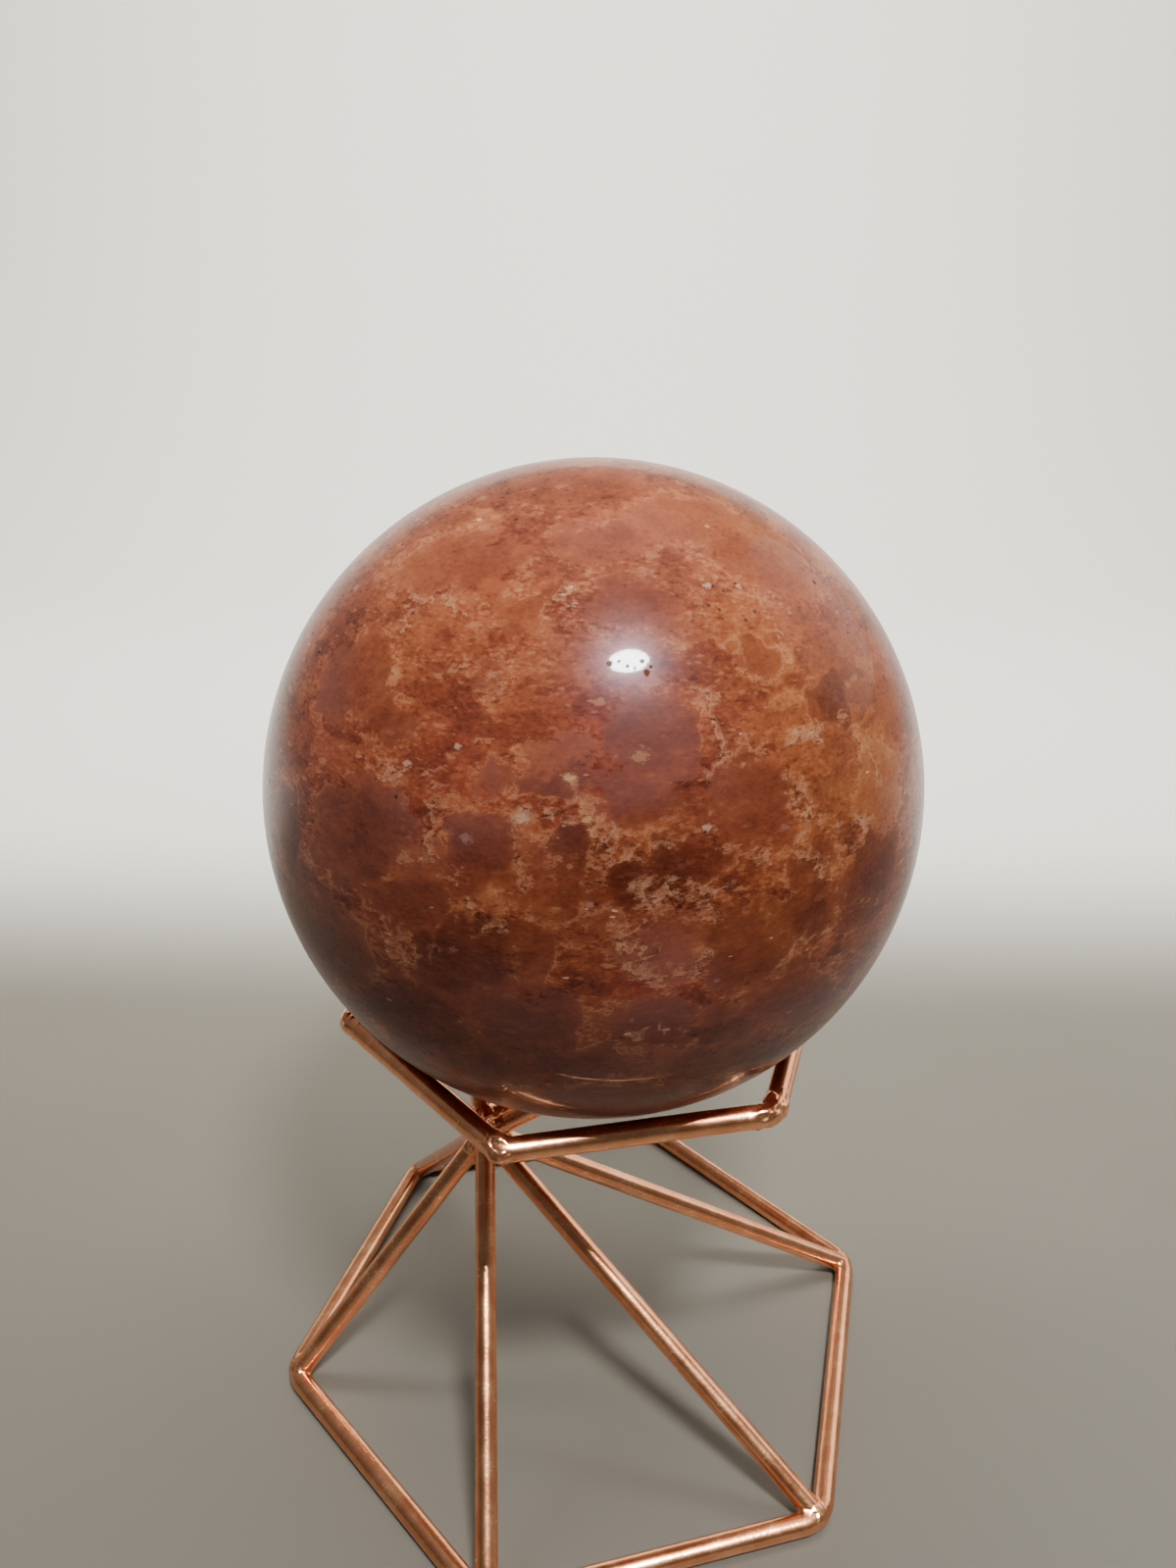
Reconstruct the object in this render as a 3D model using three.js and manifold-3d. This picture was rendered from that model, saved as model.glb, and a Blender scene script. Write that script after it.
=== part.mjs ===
// Polished sunstone sphere on a soldered copper wire stand.
// Millimetres, +Z up, origin at the bottom centre of the whole object.
// The stand is a hexagonal foot, a smaller hexagonal ring that carries the stone,
// and straight wires that run from both to one soldered waist.

import * as THREE from 'three';
import { mergeVertices } from 'three/addons/utils/BufferGeometryUtils.js';
import Module from 'manifold-3d';

// Driving dimensions, in mm and degrees
const stoneDiameter = 70;
const wireDiameter = 2.5;
const footCorner = 39.2; // foot centre to the wire axis at a corner
const ringCorner = 28.2; // ring centre to the wire axis at a corner
const ringRise = 52.3; // foot axis to ring axis
const ringTurn = -2.3; // the ring is soldered on slightly turned
const waist = { x: -12.7, y: -3.4, rise: 31.4 }; // where the wires cross, above the foot axis
const gap = 0.3; // room between pieces that touch
const wireSides = 12;
const stoneSegments = { around: 72, down: 36 };

// Corners are numbered anticlockwise from above, corner 0 at the front
const legCorners = { leg_front: 0, leg_right: 1, leg_rear_right: 2, leg_rear_left: 4, leg_left: 5 };
const strutCorners = {
  strut_front: 0, strut_right: 2, strut_rear: 3, strut_rear_left: 4, strut_left: 5,
};

const wireRadius = wireDiameter / 2;
const stoneRadius = stoneDiameter / 2;
const facetAngle = Math.PI / wireSides;
const wireFlat = wireRadius * Math.cos(facetAngle); // axis to the middle of a facet
const footZ = wireFlat; // the foot stands on its lowest facets
const ringZ = footZ + ringRise;
const ringBar = ringCorner * Math.cos(Math.PI / 6); // ring centre to the middle of a bar
const stoneZ = ringZ + Math.sqrt((stoneRadius + wireRadius + gap) ** 2 - ringBar ** 2);
const waistPoint = new THREE.Vector3(waist.x, waist.y, footZ + waist.rise);

const wasm = await Module();
wasm.setup();

// three.js geometry to a solid and back
function toSolid(geometry) {
  const bare = geometry.clone();
  bare.deleteAttribute('normal');
  bare.deleteAttribute('uv');
  const merged = mergeVertices(bare, 1e-4);
  return new wasm.Manifold(new wasm.Mesh({
    numProp: 3,
    vertProperties: new Float32Array(merged.attributes.position.array),
    triVerts: new Uint32Array(merged.index.array),
  }));
}

function toGeometry(solid) {
  const mesh = solid.getMesh();
  const geometry = new THREE.BufferGeometry();
  geometry.setAttribute('position', new THREE.BufferAttribute(mesh.vertProperties, 3));
  geometry.setIndex(new THREE.BufferAttribute(mesh.triVerts, 1));
  geometry.computeVertexNormals();
  return geometry;
}

// Corners of a level hexagon, the first one turned by `turn` degrees from the front
function hexagon(cornerRadius, z, turn = 0) {
  return Array.from({ length: 6 }, (_, i) => {
    const angle = THREE.MathUtils.degToRad(turn + 60 * i);
    return new THREE.Vector3(cornerRadius * Math.sin(angle), -cornerRadius * Math.cos(angle), z);
  });
}

// Straight round wire from one point to another, one facet facing straight down
function wire(from, to, radius) {
  const along = to.clone().sub(from);
  const length = along.length();
  along.normalize();
  const across = new THREE.Vector3().crossVectors(along, new THREE.Vector3(0, 0, 1)).normalize();
  const up = new THREE.Vector3().crossVectors(across, along);
  const place = new THREE.Matrix4().makeBasis(across, along, up);
  place.setPosition(from.clone().add(to).multiplyScalar(0.5));
  const rod = new THREE.CylinderGeometry(radius, radius, length, wireSides, 1, false, facetAngle);
  return toSolid(rod.applyMatrix4(place));
}

// Closed hexagonal loop of wire, a ring turned in six flat stretches.
// The section is an ellipse across the corners, so each bar is round.
function loop(cornerRadius, z, turn, radius) {
  const section = Array.from({ length: wireSides + 1 }, (_, i) => {
    const angle = facetAngle * (2 * (i % wireSides) + 1);
    const out = (radius / Math.cos(Math.PI / 6)) * Math.sin(angle);
    return new THREE.Vector2(cornerRadius + out, z - radius * Math.cos(angle));
  });
  const ring = new THREE.LatheGeometry(section, 6);
  ring.rotateX(Math.PI / 2);
  ring.rotateZ(THREE.MathUtils.degToRad(turn));
  return ring;
}

// Every wire end at the waist is mitred against every other one
function mitre(solid, direction, others) {
  return others.reduce((rest, other) => {
    const normal = direction.clone().sub(other).normalize();
    return rest.trimByPlane(normal.toArray(), normal.dot(waistPoint) + gap / 2);
  }, solid);
}

const footCorners = hexagon(footCorner, footZ);
const ringCorners = hexagon(ringCorner, ringZ, ringTurn);
const footRoom = toSolid(loop(footCorner, footZ, 0, wireRadius + gap));
const ringRoom = toSolid(loop(ringCorner, ringZ, ringTurn, wireRadius + gap));

const wires = [
  ...Object.entries(legCorners).map(([name, i]) => ({ name, end: footCorners[i], room: footRoom })),
  ...Object.entries(strutCorners).map(([name, i]) => ({ name, end: ringCorners[i], room: ringRoom })),
];
wires.forEach((item) => {
  item.direction = item.end.clone().sub(waistPoint).normalize();
});

// The wire starts a little past the waist, so that its mitred end comes to a point there
function waistWire({ end, direction, room }) {
  const start = waistPoint.clone().addScaledVector(direction, -wireRadius);
  const others = wires.filter((item) => item.direction !== direction).map((item) => item.direction);
  return mitre(wire(start, end, wireRadius), direction, others).subtract(room);
}

const copper = () => new THREE.MeshStandardMaterial({
  color: 0xb9795a, roughness: 0.22, metalness: 1,
});
const sunstone = () => new THREE.MeshStandardMaterial({
  color: 0x7a2f1a, roughness: 0.08, metalness: 0,
});

const group = new THREE.Group();

function addPiece(name, geometry, material) {
  const mesh = new THREE.Mesh(geometry, material);
  mesh.name = name;
  group.add(mesh);
  return mesh;
}

const stone = addPiece(
  'sunstone_sphere',
  new THREE.SphereGeometry(stoneRadius, stoneSegments.around, stoneSegments.down),
  sunstone(),
);
stone.rotation.x = Math.PI / 2;
stone.position.z = stoneZ;

addPiece('foot_ring', loop(footCorner, footZ, 0, wireRadius), copper());
addPiece('stone_ring', loop(ringCorner, ringZ, ringTurn, wireRadius), copper());
wires.forEach((item) => addPiece(item.name, toGeometry(waistWire(item)), copper()));

export default group;
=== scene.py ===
from math import cos, pi, radians, sin

import bpy
import numpy as np
from mathutils import Matrix, Vector


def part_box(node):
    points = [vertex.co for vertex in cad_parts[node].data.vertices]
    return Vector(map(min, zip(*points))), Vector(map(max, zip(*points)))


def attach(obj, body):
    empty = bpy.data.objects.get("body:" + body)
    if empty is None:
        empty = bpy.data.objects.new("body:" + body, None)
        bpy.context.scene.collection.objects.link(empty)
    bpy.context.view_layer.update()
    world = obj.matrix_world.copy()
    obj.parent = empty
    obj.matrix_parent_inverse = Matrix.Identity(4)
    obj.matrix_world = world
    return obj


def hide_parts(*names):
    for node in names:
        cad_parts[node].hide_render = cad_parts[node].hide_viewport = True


# A polished sunstone sphere resting on a small soldered stand of copper wire.
# Metres, +Z up, the foot on z = 0.

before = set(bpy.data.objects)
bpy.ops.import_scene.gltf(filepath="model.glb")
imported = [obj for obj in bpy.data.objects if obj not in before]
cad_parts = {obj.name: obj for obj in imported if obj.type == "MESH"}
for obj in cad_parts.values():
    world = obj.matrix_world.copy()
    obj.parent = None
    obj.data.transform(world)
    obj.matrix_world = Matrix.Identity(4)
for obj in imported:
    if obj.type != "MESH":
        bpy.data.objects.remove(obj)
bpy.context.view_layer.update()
mm = 0.001


# Camera
view = {
    "place": (0.029776, -0.108156, 0.129346),
    "azimuth": 15.68,  # degrees round the object, from the front towards +X
    "down": 23.25,  # degrees below the horizon
    "roll": 0.683,
    "focalPixels": 1130.03,
    "photo": (1199, 1599),
    "sensor": 36.0,
    "nearest": 0.005,
}


def makeCamera():
    a, e, roll = (radians(view[k]) for k in ("azimuth", "down", "roll"))
    forward = Vector((-sin(a) * cos(e), cos(a) * cos(e), -sin(e)))
    level = Vector((cos(a), sin(a), 0))
    above = level.cross(forward)
    right = level * cos(roll) + above * sin(roll)
    up = above * cos(roll) - level * sin(roll)
    camera = bpy.data.objects.new("camera", bpy.data.cameras.new("camera"))
    camera.data.sensor_width = view["sensor"]
    camera.data.lens = view["focalPixels"] * view["sensor"] / max(view["photo"])
    camera.data.clip_start = view["nearest"]
    turn = Matrix((right, up, -forward)).transposed().to_4x4()
    camera.matrix_world = Matrix.Translation(view["place"]) @ turn
    bpy.context.collection.objects.link(camera)
    bpy.context.scene.camera = camera


makeCamera()
print("camera placed")


# Shader arithmetic
# A node's output. Each operator adds one Math node.
class Field:
    def __init__(self, material, socket):
        self.material, self.socket = material, socket

    def math(self, operation, *others):
        inputs = dict(enumerate((self,) + others))
        return self.material.node("ShaderNodeMath", {"operation": operation}, inputs)

    def __add__(self, other):
        return self.math("ADD", other)

    def __sub__(self, other):
        return self.math("SUBTRACT", other)

    def __rsub__(self, other):
        inputs = {0: other, 1: self}
        return self.material.node("ShaderNodeMath", {"operation": "SUBTRACT"}, inputs)

    def __mul__(self, other):
        return self.math("MULTIPLY", other)

    def __truediv__(self, other):
        return self.math("DIVIDE", other)

    __radd__, __rmul__ = __add__, __mul__

    def least(self, other):
        return self.math("MINIMUM", other)

    # 0 below low, 1 above high, eased between; low may be above high.
    def step(self, low, high):
        settings = {"interpolation_type": "SMOOTHSTEP"}
        inputs = {0: self, 1: low, 2: high, 3: 0.0, 4: 1.0}
        if low > high:
            inputs.update({1: high, 2: low, 3: 1.0, 4: 0.0})
        return self.material.node("ShaderNodeMapRange", settings, inputs)


# A node tree with one method that adds any node.
class Material:
    def __init__(self, name):
        self.data = bpy.data.materials.new(name)
        self.data.use_nodes = True
        self.tree = self.data.node_tree
        self.tree.nodes.clear()
        self.place = self.node("ShaderNodeTexCoord", output="Object")

    def node(self, kind, settings=None, inputs=None, output=0):
        made = self.tree.nodes.new(kind)
        for key, value in (settings or {}).items():
            if key == "stops":
                self.setStops(made.color_ramp, value)
            else:
                setattr(made, key, value)
        for key, value in (inputs or {}).items():
            if isinstance(value, Field):
                self.tree.links.new(value.socket, made.inputs[key])
            else:
                made.inputs[key].default_value = value
        return Field(self, made.outputs[output]) if made.outputs else None

    def setStops(self, ramp, stops):
        while len(ramp.elements) < len(stops):
            ramp.elements.new(0.5)
        for element, (position, colour) in zip(ramp.elements, stops):
            element.position, element.color = position, (*colour, 1)

    def attribute(self, name):
        return self.node("ShaderNodeAttribute", {"attribute_name": name}, output="Fac")

    # The object's place, turned by degrees and stretched.
    def mapped(self, stretch, turn):
        inputs = {"Vector": self.place, "Scale": stretch, "Rotation": tuple(radians(t) for t in turn)}
        return self.node("ShaderNodeMapping", None, inputs)

    # Cloudy noise whose largest blotches are `size` metres across, mostly 0.3 to 0.7.
    def noise(self, size, detail=4.0, rough=0.55, place=None, warp=0.0):
        inputs = {"Vector": place or self.place, "Scale": 1 / size, "Detail": detail,
                  "Roughness": rough, "Distortion": warp}
        return self.node("ShaderNodeTexNoise", {"normalize": True}, inputs)

    def cells(self, size, feature="F1", place=None, output="Distance"):
        inputs = {"Vector": place or self.place, "Scale": 1 / size}
        return self.node("ShaderNodeTexVoronoi", {"feature": feature}, inputs, output)

    # A place moved by vector noise, at most about `reach` metres each way.
    def shaken(self, place, size, reach, detail):
        inputs = {"Vector": place, "Scale": 1 / size, "Detail": detail}
        cloud = self.node("ShaderNodeTexNoise", {"normalize": True}, inputs, output="Color")
        centred = self.node("ShaderNodeVectorMath", {"operation": "SUBTRACT"},
                            {0: cloud, 1: (0.5, 0.5, 0.5)})
        return self.node("ShaderNodeVectorMath", {"operation": "MULTIPLY_ADD"},
                         {0: centred, 1: (reach, reach, reach), 2: place})

    # One random number from 0 to 1 for each cell.
    def pick(self, size, place=None):
        return self.node("ShaderNodeSeparateColor", None, {0: self.cells(size, place=place, output="Color")})

    # Colour `below` where the mask is 0 and `above` where it is 1.
    def mix(self, mask, below, above, blend="MIX"):
        below, above = (c if isinstance(c, Field) else (*c, 1) for c in (below, above))
        return self.node("ShaderNodeMix", {"data_type": "RGBA", "blend_type": blend},
                         {0: mask, 6: below, 7: above}, output=2)

    def bump(self, height, depth, under=None):
        inputs = {"Height": height, "Distance": depth, "Strength": 1.0}
        if under:
            inputs["Normal"] = under
        return self.node("ShaderNodeBump", None, inputs)

    def finish(self, inputs):
        shader = self.node("ShaderNodeBsdfPrincipled", None, inputs)
        self.node("ShaderNodeOutputMaterial", None, {"Surface": shader})
        return self.data


# Mesh tools
# Smooth lumps about `size` across, mostly -1 to 1: a sum of plane sine waves in random directions.
def bumpy(points, size, seed):
    waves = 28
    rng = np.random.default_rng(seed)
    heading = rng.normal(size=(waves, 3))
    heading /= np.linalg.norm(heading, axis=1, keepdims=True)
    pitch = 2 * pi / (size * rng.uniform(0.7, 1.6, waves))
    phase = rng.uniform(0, 2 * pi, waves)
    return np.sin(points @ (heading * pitch[:, None]).T + phase).sum(1) / np.sqrt(waves / 2)


# Quads of a grid whose columns run round and whose rows run along.
def gridFaces(rows, columns, closed=True):
    steps = columns if closed else columns - 1
    row, column = np.meshgrid(np.arange(rows - 1), np.arange(steps), indexing="ij")
    a = row * columns + column
    b = row * columns + (column + 1) % columns
    return np.stack([a, b, b + columns, a + columns], -1).reshape(-1, 4)


# One mesh from several (points, quads, triangles) parts.
def makeMesh(name, parts):
    points, faces, count = [], [], 0
    for partPoints, quads, triangles in parts:
        points.append(partPoints)
        faces += (quads + count).tolist() + (triangles + count).tolist()
        count += len(partPoints)
    mesh = bpy.data.meshes.new(name)
    mesh.from_pydata(np.concatenate(points).tolist(), [], faces)
    mesh.polygons.foreach_set("use_smooth", np.ones(len(mesh.polygons), bool))
    mesh.update()
    piece = bpy.data.objects.new(name, mesh)
    bpy.context.collection.objects.link(piece)
    return piece


# Grid of rows whose first and last rows are each pulled into one point, as points, quads, triangles.
def closeEnds(grid):
    rows, columns = grid.shape[:2]
    body = grid[1:-1].reshape(-1, 3)
    poles = np.stack([grid[0].mean(0), grid[-1].mean(0)])
    quads = gridFaces(rows - 2, columns)
    around = np.arange(columns)
    after = (around + 1) % columns
    last = (rows - 3) * columns
    start, end = len(body), len(body) + 1
    triangles = np.concatenate([
        np.stack([np.full(columns, start), after, around], -1),
        np.stack([np.full(columns, end), last + around, last + after], -1),
    ])
    return np.concatenate([body, poles]), quads, triangles


# Straight runs joined by arcs: each corner is cut back by bend * tan(half the turn) and rounded.
def bentPath(corners, bend, closed=False):
    spacing, arcPoints = 0.5 * mm, 13
    corners = np.asarray(corners, float)
    count = len(corners)
    runs = []
    for i in range(count) if closed else range(1, count - 1):
        before, here, after = corners[i - 1], corners[i], corners[(i + 1) % count]
        into, out = (run / np.linalg.norm(run) for run in (here - before, after - here))
        turn = np.arccos(np.clip(into @ out, -1, 1))
        inward = (out - into) / np.linalg.norm(out - into)
        centre = here + inward * bend / np.cos(turn / 2)
        angle = np.linspace(-turn / 2, turn / 2, arcPoints)[:, None]
        along = np.cross(np.cross(into, out), inward)
        along /= -np.linalg.norm(along)
        along *= np.sign(along @ (into + out))
        runs.append(centre - bend * (np.cos(angle) * inward - np.sin(angle) * along))
    if closed:
        runs.append(runs[0][:1])
    else:
        runs = [corners[:1]] + runs + [corners[-1:]]
    path = [runs[0]]
    for before, after in zip(runs, runs[1:]):
        length = np.linalg.norm(after[0] - before[-1])
        share = np.linspace(0, 1, max(int(length / spacing), 1) + 1)[1:-1, None]
        path += [before[-1] + share * (after[0] - before[-1]), after]
    path = np.concatenate(path)
    return path[:-1] if closed else path


# Round wire: at each path point a circle of that radius across the path. Its open ends are
# half balls: radius * cos(t) at radius * sin(t) past the end.
def sweep(path, radius, closed=False):
    sides, capRows = 28, 7
    radius = np.full(len(path), radius)
    if closed:
        along = np.roll(path, -1, 0) - np.roll(path, 1, 0)
    else:
        along = np.gradient(path, axis=0)
    along /= np.linalg.norm(along, axis=1, keepdims=True)
    if not closed:
        t = np.linspace(pi / 2, 0, capRows + 1)[:-1, None]
        path = np.concatenate([path[0] - along[0] * radius[0] * np.sin(t), path,
                               path[-1] + along[-1] * radius[-1] * np.sin(t[::-1])])
        along = np.concatenate([np.repeat(along[:1], len(t), 0), along, np.repeat(along[-1:], len(t), 0)])
        radius = np.concatenate([radius[0] * np.cos(t[:, 0]), radius, radius[-1] * np.cos(t[::-1, 0])])
    across = np.cross(along, (0, 0, 1))
    across /= np.linalg.norm(across, axis=1, keepdims=True)
    above = np.cross(across, along)
    angle = np.linspace(0, 2 * pi, sides, endpoint=False)[None, :, None]
    circle = np.cos(angle) * across[:, None] + np.sin(angle) * above[:, None]
    grid = path[:, None] + radius[:, None, None] * circle
    if closed:
        rows = len(grid)
        grid = np.concatenate([grid, grid[:1]])
        quads = gridFaces(rows + 1, sides) % (rows * sides)
        return grid[:-1].reshape(-1, 3), quads, np.zeros((0, 3), int)
    return closeEnds(grid)


# The stand's lines
stand = {
    "wire": 1.25 * mm,  # radius
    "footCorner": 39.2 * mm,  # centre to the wire's axis at a corner
    "ringCorner": 28.2 * mm,
    "ringTurn": -2.3,  # degrees
    "footBend": 4.2 * mm,  # bend radius of the wire's axis
    "ringBend": 1.8 * mm,
    "waist": (-12.7 * mm, -3.4 * mm, 32.607 * mm),
}


# Corners of a level hexagon, at corner * (sin, -cos) of 60 degrees times 0 to 5.
def hexagon(corner, height, turn=0.0):
    angle = np.radians(turn + 60 * np.arange(6))
    return np.stack([corner * np.sin(angle), -corner * np.cos(angle), np.full(6, height)], -1)


def middleHeight(node):
    low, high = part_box(node)
    return (low.z + high.z) / 2


footCorners = hexagon(stand["footCorner"], middleHeight("foot_ring"))
ringCorners = hexagon(stand["ringCorner"], middleHeight("stone_ring"), stand["ringTurn"])
waist = np.array(stand["waist"])
footPath = bentPath(footCorners, stand["footBend"], closed=True)
ringPath = bentPath(ringCorners, stand["ringBend"], closed=True)


# Where the bent wire really passes: the sharp corner moved inward by bend * (1 / cos 30 - 1).
def bentCorners(corners, bend):
    flat = corners * (1, 1, 0)
    return corners - flat / np.linalg.norm(flat, axis=1, keepdims=True) * bend * (1 / cos(pi / 6) - 1)


footEnds = bentCorners(footCorners, stand["footBend"])
ringEnds = bentCorners(ringCorners, stand["ringBend"])
legEnds = {"leg_front": 0, "leg_right": 1, "leg_rear_right": 2, "leg_rear_left": 4, "leg_left": 5}
strutEnds = {"strut_front": 0, "strut_right": 2, "strut_rear": 3, "strut_rear_left": 4, "strut_left": 5}


# Every wire by node: the two hexagons are closed, the legs and struts run from the waist.
def makeWires():
    made = {
        "foot_ring": [sweep(footPath, stand["wire"], closed=True)],
        "stone_ring": [sweep(ringPath, stand["wire"], closed=True)],
    }
    for ends, corners in ((legEnds, footEnds), (strutEnds, ringEnds)):
        for name, i in ends.items():
            made[name] = [sweep(bentPath([waist, corners[i]], 0), stand["wire"])]
    return made


wireParts = makeWires()


# Solder
# Fillet: how far the wires melt into each other. Swell: how far a lump stands proud of them.
# Reach: how far it runs out from the joint.
solder = {
    "foot": {"fillet": 0.28 * mm, "swell": -0.12 * mm, "reach": 3.4 * mm, "wrinkle": 0.05 * mm},
    "ring": {"fillet": 0.30 * mm, "swell": -0.02 * mm, "reach": 3.8 * mm, "wrinkle": 0.08 * mm},
    "seam": {"fillet": 0.32 * mm, "swell": -0.08 * mm, "reach": 5.4 * mm, "wrinkle": 0.08 * mm},
    "knob": {"fillet": 0.32 * mm, "swell": 0.06 * mm, "reach": 4.4 * mm, "wrinkle": 0.11 * mm},
    "waist": {"fillet": 0.30 * mm, "swell": 0.10 * mm, "reach": 4.5 * mm, "wrinkle": 0.12 * mm},
}


solderSkin = {
    "halvings": 16,
    "search": 1.2,  # the furthest point tried, in reaches
    "lump": 1.9 * mm,
    "smallLump": 0.8 * mm,
    "fadeFrom": 0.75,  # in reaches
    "fade": 12.8 * mm,
    "hexagonReach": 8 * mm,  # how much of the hexagon melts into a corner's joint
    "wireShare": 0.3,  # how much of a leg or strut melts into a corner's joint
    "waistShare": 0.4,
}


# Distance from each point to the axis of a wire, as the nearest of its straight steps.
def wireDistance(points, path):
    a, step = path[:-1], np.diff(path, axis=0)
    length = (step ** 2).sum(1)
    best = np.full(len(points), 1e9)
    for start, run, square in zip(a, step, length):
        share = np.clip((points - start) @ run / square, 0, 1)
        best = np.minimum(best, ((points - start - share[:, None] * run) ** 2).sum(1))
    return np.sqrt(best)


# The part of a closed path within reach of the joint, in order.
def nearPart(path, centre, reach):
    far = np.linalg.norm(path - centre, axis=1)
    first = int(np.argmax(far))
    return np.roll(path, -first, 0)[np.roll(far, -first) < reach]


# A ball-like skin over a joint. In each direction it ends where the smooth union of the
# wires, -k log(sum exp(-d / k)), equals the swelling, which falls to nothing at the reach.
def solderLump(centre, paths, seed, kind, rows=48, columns=64):
    fillet, swell, reach, wrinkle = (solder[kind][k] for k in ("fillet", "swell", "reach", "wrinkle"))
    down = np.linspace(0, pi, rows)[:, None]
    around = np.linspace(0, 2 * pi, columns, endpoint=False)[None]
    heading = np.stack([np.sin(down) * np.cos(around), np.sin(down) * np.sin(around),
                        np.cos(down) + 0 * around], -1).reshape(-1, 3)
    low, high = np.zeros(len(heading)), np.full(len(heading), reach * solderSkin["search"])
    for _ in range(solderSkin["halvings"]):
        middle = (low + high) / 2
        points = centre + heading * middle[:, None]
        close = sum(np.exp(-(wireDistance(points, p) - stand["wire"]) / fillet) for p in paths)
        skin = -fillet * np.log(close)
        out = middle / reach
        lumps = bumpy(points, solderSkin["lump"], seed)
        lumps = lumps + 0.6 * bumpy(points, solderSkin["smallLump"], seed + 50)
        fade = solderSkin["fade"] * np.clip(out - solderSkin["fadeFrom"], 0, None) ** 1.5
        inside = skin < (swell + wrinkle * lumps) * np.clip(1 - out ** 2, 0, 1) - fade
        low, high = np.where(inside, middle, low), np.where(inside, high, middle)
    grid = (centre + heading * low[:, None]).reshape(rows, columns, 3)
    return closeEnds(grid[::-1])


# Foot and ring corners carry theirs in the hexagon's own mesh, the waist has a piece of its own.
def addSolder():
    for node, kind, corners, path, ends in (("foot_ring", "foot", footEnds, footPath, legEnds),
                                            ("stone_ring", "ring", ringEnds, ringPath, strutEnds)):
        for i, corner in enumerate(corners):
            paths = [nearPart(path, corner, solderSkin["hexagonReach"])]
            if i in ends.values():
                paths.append(np.array([corner, corner + (waist - corner) * solderSkin["wireShare"]]))
            look = ("seam", "knob")[i] if kind == "ring" and i < 2 else kind
            wireParts[node].append(solderLump(corner, paths, 10 * i + len(node), look))
    paths = [np.array([waist, waist + (corners[i] - waist) * solderSkin["waistShare"]])
             for ends, corners in ((legEnds, footEnds), (strutEnds, ringEnds)) for i in ends.values()]
    wireParts["waist_solder"] = [solderLump(waist, paths, 99, "waist", 64, 96)]


addSolder()
# The foot's underside is worn flat where it stands
for parts in wireParts.values():
    for points, _, _ in parts:
        points[:, 2] = np.maximum(points[:, 2], 0)
wirePieces = {name: makeMesh(name if name == "waist_solder" else name + "_look", parts)
              for name, parts in wireParts.items()}
print("wires and solder made:", {k: len(v.data.polygons) for k, v in wirePieces.items()})


# The stone
stone = {
    "around": 440,
    "down": 220,
    "radius": 35.0,  # mm, the unit of the sizes below
    "seen": (15.0, 22.0),  # middle of the visible side, degrees round and up
    "ragged": 0.75,  # how far the windows' outlines wander, mm
    "outlineWander": ((0.6, 0.11, 40), (0.4, 0.045, 50), (0.25, 0.022, 60)),  # share, size in radii, seed
    "grown": 1.2,  # windows are this much larger than listed, so that they meet in seams
    "squareness": 2.4,  # the exponent of a window's outline; 2 is an ellipse
    "margin": 5.0,  # how far outside a window its depth is still worked out, mm
    "seamSlope": 0.6,
    "windowsBehind": 95,
    "veilsBehind": 90,
    "veilsSeen": (15.0, 20.0),
    "veilWander": ((0.5, 0.09, 21), (0.4, 0.035, 31)),
    "veilRange": 5.0,  # the sided distance is kept within this, mm
    "groove": 0.02 * mm,
}

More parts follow.
